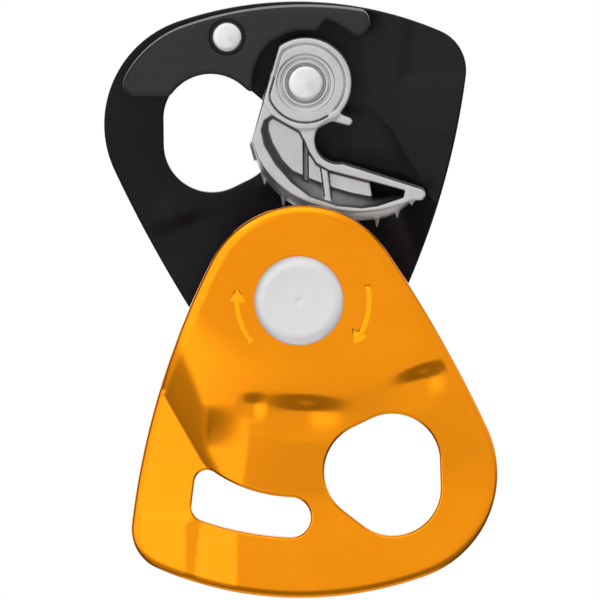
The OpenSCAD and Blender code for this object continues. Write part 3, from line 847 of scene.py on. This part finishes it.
def cam_field(x, y, z):
    """Distance field of the cam: x, y and z are open grids."""
    px, pz = x - CAM_PIVOT[0], z - CAM_PIVOT[1]
    radius = np.hypot(px, pz)
    flat_side = (px * math.cos(math.radians(FLAT_DIRECTION))
                 + pz * math.sin(math.radians(FLAT_DIRECTION)))
    half, boss_half = 3.8, 3.9
    plain, grown = polygon_distance(cam_arm(0), x, z), polygon_distance(cam_arm(CROWN), x, z)
    across = np.clip(1 - (np.abs(y) / 3.5) ** 2, 0, 1)
    arm = plain + (grown - plain) * across
    boss = np.maximum(radius - 7.6, flat_side - FLAT_DISTANCE)
    arm = np.maximum(arm, flat_side - FLAT_DISTANCE)
    body = smooth_min(slab_distance(arm, y, -half, half, 0.22),
                      slab_distance(boss, y, -half, half, 0.3), 0.5)
    dee = smooth_max(radius - 6.5, flat_side - 5.25, 0.6)
    body = np.minimum(body, slab_distance(dee, y, -boss_half, boss_half, 0.12))
    groove = np.maximum(np.abs(dee) - 0.1, 3.5 - np.abs(y))
    body = smooth_max(body, -groove, 0.12)
    # Open side of the arm: one pocket each side, its lower wall sloping to the web
    web = 1.7
    deep = np.clip((half - np.abs(y)) / (half - web), 0, 1)
    mouth = polygon_distance(POCKET_MOUTH, x, z) + 0.35
    floor = polygon_distance(POCKET_FLOOR, x, z) + 0.35
    pocket = (mouth + (floor - mouth) * smoothstep(deep, 0, 1)) - 0.35
    hollow = smooth_max(pocket, web - np.abs(y), 0.35)
    hollow = smooth_max(hollow, -slab_distance(polygon_distance(RIB, x, z), y, -3.3, 3.3, 0.15), 0.3)
    hollow = smooth_min(hollow, np.maximum(polygon_distance(GUTTER, x, z), 0.8 - np.abs(y)), 0.1)
    body = smooth_max(body, -hollow, 0.25)
    body = smooth_max(body, -(polygon_distance(SLOT, x, z) + 0 * y), 0.3)
    # Nub that stops against the spacer, then the teeth
    nub = [CAM_PIVOT + np.array([4.6, -5.5]), CAM_PIVOT + np.array([7.1, -6.35])]
    spine = cone_distance(x, 0 * y, z, (nub[0][0], 0, nub[0][1]), (nub[1][0], 0, nub[1][1]), 0.85, 0.68)
    body = smooth_min(body, slab_distance(spine, y, -3.75, -0.9, 0.3), 0.45)
    for k, direction in enumerate(TEETH):
        foot = CAM_PIVOT + turned(direction, spiral_r(direction) - 0.2)
        length = (2.1 - 0.15 * k
                  + 0.86 * CROWN * swell(direction) / abs(math.sin(math.radians(direction))))
        for tooth_y in (-1.3, 1.3):
            tooth = cone_distance(x, y, z, (foot[0], tooth_y, foot[1]),
                                  (foot[0], tooth_y, foot[1] - length), 0.85, 0.16)
            body = smooth_min(body, tooth, 0.3)
    # Recess and bevel around the rivet head, the bore, and the spring's recess behind
    depth = y + boss_half
    body = smooth_max(body, -np.maximum(radius - 4.8, depth - 0.2), 0.1)
    body = smooth_max(body, -np.maximum(np.abs(radius - 4.0) - 0.12, depth - 0.45), 0.1)
    body = smooth_max(body, -np.maximum(radius - 3.3, depth - 1.05), 0.1)
    body = np.maximum(body, 2.55 - radius)
    ring = np.maximum(np.maximum(radius - 5.5, 3.6 - radius), 0.5 - y)
    return np.maximum(body, -ring)


# Mouth and floor of the cam's pocket, the rib and the gutter across it, and the slot in the web
POCKET_MOUTH = [(-5.7, 29.4), (-4.5, 30.2), (-0.8, 28.1), (0.15, 27.5), (1.4, 24.6), (2.9, 22.3),
                (4.9, 21.1), (11.5, 19.4), (17.5, 17.8), (17.2, 16.7), (13, 15.3), (10.4, 14.95),
                (6.4, 15.3), (1.9, 16.8), (-1.2, 19.2), (-3.9, 22.3), (-5.7, 25.4), (-6.2, 27.8)]
POCKET_FLOOR = [(-5.2, 29.2), (-4.4, 29.9), (-0.8, 27.9), (0.1, 27.4), (1.4, 24.5), (2.9, 22.1),
                (4.9, 20.9), (11.5, 19.2), (17.4, 17.7), (17, 16.9), (14, 16.5), (11.5, 16.7),
                (8.5, 17.3), (5.8, 18.1), (3.4, 19), (1, 20), (-1.2, 21), (-2.9, 22.8), (-4.5, 25.6),
                (-5.2, 27.7)]
RIB = [(3.5, 22.5), (4.7, 22), (5.5, 15.5), (4.4, 15.5)]
GUTTER = [(0.75, 26.4), (1.5, 24.6), (1.6, 19.2), (0.75, 19.5)]
SLOT = [(11.8, 19.2), (17.3, 17.7), (17.2, 16.9), (12.3, 16.3)]


def spacer_field(x, y, z):
    """Distance field of the moulded spacer that keeps the plates apart."""
    plate = Outline([(-0.5, 1.1, 16.6), (20.7, 37.4, 6.9), (-14.3, 28.3, 17.9)],
                    [132.8, 60.8, 209.8]).moved(np.array([1.2, -0.2])).points()
    ends = Outline([(-26.8, 35.9, 2.45), (-23.6, 35.8, 2.35), (7.9, 36, 1), (7.9, 60, 1),
                    (-28.2, 60, 1)], [0] * 5).points()
    finger = np.hypot(x - 9.6, z - 45.6) - 2.2
    block = smooth_max(polygon_distance(plate, x, z), polygon_distance(ends, x, z), 0.6)
    block = smooth_min(block, finger, 1.2)
    block = np.maximum(block, polygon_distance(plate, x, z))
    block = smooth_max(block, -polygon_distance(BACK_HOLE.points(-0.05), x, z), 0.4)
    px, pz = x - CAM_PIVOT[0], z - CAM_PIVOT[1]
    radius = np.hypot(px, pz)
    block = smooth_max(block, 8.8 - radius, 0.4)
    sweep = np.concatenate([[CAM_PIVOT], CAM_PIVOT + turned(np.arange(-48, 73, 6), np.full(21, 11.1)),
                            [CAM_PIVOT + turned(79, 8.4)]])
    block = smooth_max(block, -polygon_distance(sweep, x, z), 0.7)
    body = slab_distance(block, y, -4.5, 4.7, 0.65)
    rivet = np.hypot(x - SPACER_RIVET[0], z - SPACER_RIVET[1])
    body = smooth_max(body, 1.5 - rivet, 0.1)
    return smooth_max(body, -np.maximum(rivet - 3.0, y + 3.2), 0.25)


def wall_shade(points, normals):
    """Painted shade mask: 1 on the walls inside the cam's outline and deep in its gutter, where shade
    falls, 0 on its faces and gripping face.
    """
    x, z = points[:, 0], points[:, 2]
    radius = np.hypot(x - CAM_PIVOT[0], z - CAM_PIVOT[1])
    within = smoothstep(-polygon_distance(cam_arm(0), x, z), 0.25, 0.5) * (radius > 4.9)
    # The gutter is painted dark by its depth alone, as shade standing in for occlusion.
    deep = (np.abs(points[:, 1]) < 1.5) & (points[:, 0] < 2.2) & (points[:, 0] > 0.5)
    return np.maximum(within * (1 - smoothstep(np.abs(normals[:, 1]), 0.86, 0.985)), within * deep)


def cast_piece(name, field, low, high, step, body, material, shade=None):
    low, step = np.array(low, float), np.array(step, float)
    count = np.ceil((np.array(high) - low) / step).astype(int) + 1
    axes = [low[k] + step[k] * np.arange(count[k]) for k in range(3)]
    x, z = axes[0][:, None, None], axes[2][None, None, :]
    y = axes[1][None, :, None]
    x, z = np.broadcast_arrays(x, z)
    values = np.broadcast_to(field(x, y, z), count).astype(float)
    points, faces, normals = surface_net(values, low, step)
    piece(name + "_cast", points, faces, body, material, [name], normals,
          None if shade is None else shade(points, normals))


def add_cast():
    coarse = 1
    cast_piece("cam", cam_field, (-10, -4.5, 10.5), (22.5, 4.5, 44.5),
               np.array([0.15, 0.15, 0.15]) * coarse, "cam", cam_steel, wall_shade)
    cast_piece("catch_spacer", spacer_field, (-31, -5.2, 32), (14, 5.4, 51),
               np.array([0.2, 0.2, 0.2]) * coarse, "frame", nylon)


def dress_inner_nodes():
    for node, material in (("bearing_balls", hard_steel), ("bearing_cage", brass)):
        obj = frame["nodes"][node]
        obj.data.materials.clear()
        obj.data.materials.append(material)


# ------------------------------------------------------------------ studio
def lobe(tree, direction, towards, inner, outer, strength):
    """Round soft light in the surroundings: full inside inner degrees, none past outer."""
    aim = Vector(towards).normalized()
    dot = add_node(tree, "ShaderNodeVectorMath", {0: direction, 1: aim}, operation="DOT_PRODUCT")
    return add_node(tree, "ShaderNodeMapRange", {
        "Value": dot.outputs["Value"], "From Min": math.cos(math.radians(outer)),
        "From Max": math.cos(math.radians(inner)), "To Min": 0.0, "To Max": strength},
        interpolation_type="SMOOTHSTEP").outputs[0]


def add_studio():
    world = bpy.data.worlds.new("studio")
    world.use_nodes = True
    bpy.context.scene.world = world
    tree = world.node_tree
    tree.nodes.clear()
    where = add_node(tree, "ShaderNodeTexCoord").outputs["Generated"]
    split = add_node(tree, "ShaderNodeSeparateXYZ", {0: where})
    depth = add_node(tree, "ShaderNodeMath", {0: split.outputs["Y"]}, operation="ABSOLUTE")
    joined = add_node(tree, "ShaderNodeCombineXYZ", {
        "X": split.outputs["X"], "Y": depth.outputs[0], "Z": split.outputs["Z"]}).outputs[0]
    # Directions: x right, y towards the viewer (mirrored behind the part), z up
    lights = [lobe(tree, joined, (0, 1, 0.12), 22, 62, 0.66),
              lobe(tree, joined, (-0.56, 0.83, -0.06), 28, 33, 0.58),
              lobe(tree, joined, (-0.1, 0.85, 0.52), 15, 20, 0.8),
              lobe(tree, joined, (0.15, 0.25, 0.95), 22, 40, 0.7),
              lobe(tree, joined, (0.88, 0.42, 0.2), 12, 22, 0.9)]
    under = lobe(tree, joined, (0, 0.4, -0.92), 18, 34, 0.8)
    total = lights[0]
    for light in lights[1:]:
        total = add_node(tree, "ShaderNodeMath", {0: total, 1: light}, operation="ADD").outputs[0]
    total = add_node(tree, "ShaderNodeMath", {0: total, 1: 0.26}, operation="ADD").outputs[0]
    shade = add_node(tree, "ShaderNodeMapRange", {
        "Value": split.outputs["Z"], "From Min": -0.38, "From Max": -0.25, "To Min": 0.42,
        "To Max": 1.0}, interpolation_type="SMOOTHSTEP").outputs[0]
    total = add_node(tree, "ShaderNodeMath", {0: total, 1: shade}, operation="MULTIPLY").outputs[0]
    total = add_node(tree, "ShaderNodeMath", {0: total, 1: under}, operation="ADD").outputs[0]
    soft = add_node(tree, "ShaderNodeBackground", {"Strength": total})
    soft.inputs["Color"].default_value = (1, 1, 1, 1)
    white = add_node(tree, "ShaderNodeBackground", {"Strength": 1.0})
    white.inputs["Color"].default_value = (1, 1, 1, 1)
    ray = add_node(tree, "ShaderNodeLightPath")
    mix = add_node(tree, "ShaderNodeMixShader", {0: ray.outputs["Is Camera Ray"],
                                                 1: soft.outputs[0], 2: white.outputs[0]})
    out = add_node(tree, "ShaderNodeOutputWorld")
    tree.links.new(mix.outputs[0], out.inputs["Surface"])

    floor_mesh = bpy.data.meshes.new("floor")
    rim = [(0.32 * math.cos(a), 0.32 * math.sin(a), 0) for a in np.radians(np.arange(0, 360, 5))]
    floor_mesh.from_pydata(rim, [], [list(range(len(rim)))])
    floor = bpy.data.objects.new("floor", floor_mesh)
    floor.location = (AXLE[0], 0, -0.12)
    floor.visible_glossy = False
    bpy.context.scene.collection.objects.link(floor)
    floor_mesh.materials.append(surface("studio_floor", (0.86, 0.86, 0.86), (0.88, 0.88, 0.88),
                                        (0.8, 0.9), grain=200, mottle=10, specular=0.1))


def add_camera():
    elevation = math.radians(4)
    distance = 2.0
    low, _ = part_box("main_axle")
    target = Vector((AXLE[0] + 0.18 * MM, low[1], AXLE[2] + 0.2 * MM))
    data = bpy.data.cameras.new("camera")
    data.lens, data.sensor_width = 727, 36
    camera = bpy.data.objects.new("camera", data)
    camera.location = target + distance * Vector((0, -math.cos(elevation), math.sin(elevation)))
    camera.rotation_euler = (target - camera.location).to_track_quat("-Z", "Y").to_euler()
    bpy.context.scene.collection.objects.link(camera)
    bpy.context.scene.camera = camera
    bpy.context.scene.view_settings.view_transform = "Standard"


add_camera()
add_studio()
add_plates()
add_turned()
add_spring()
add_cast()
dress_inner_nodes()

bpy.context.view_layer.update()
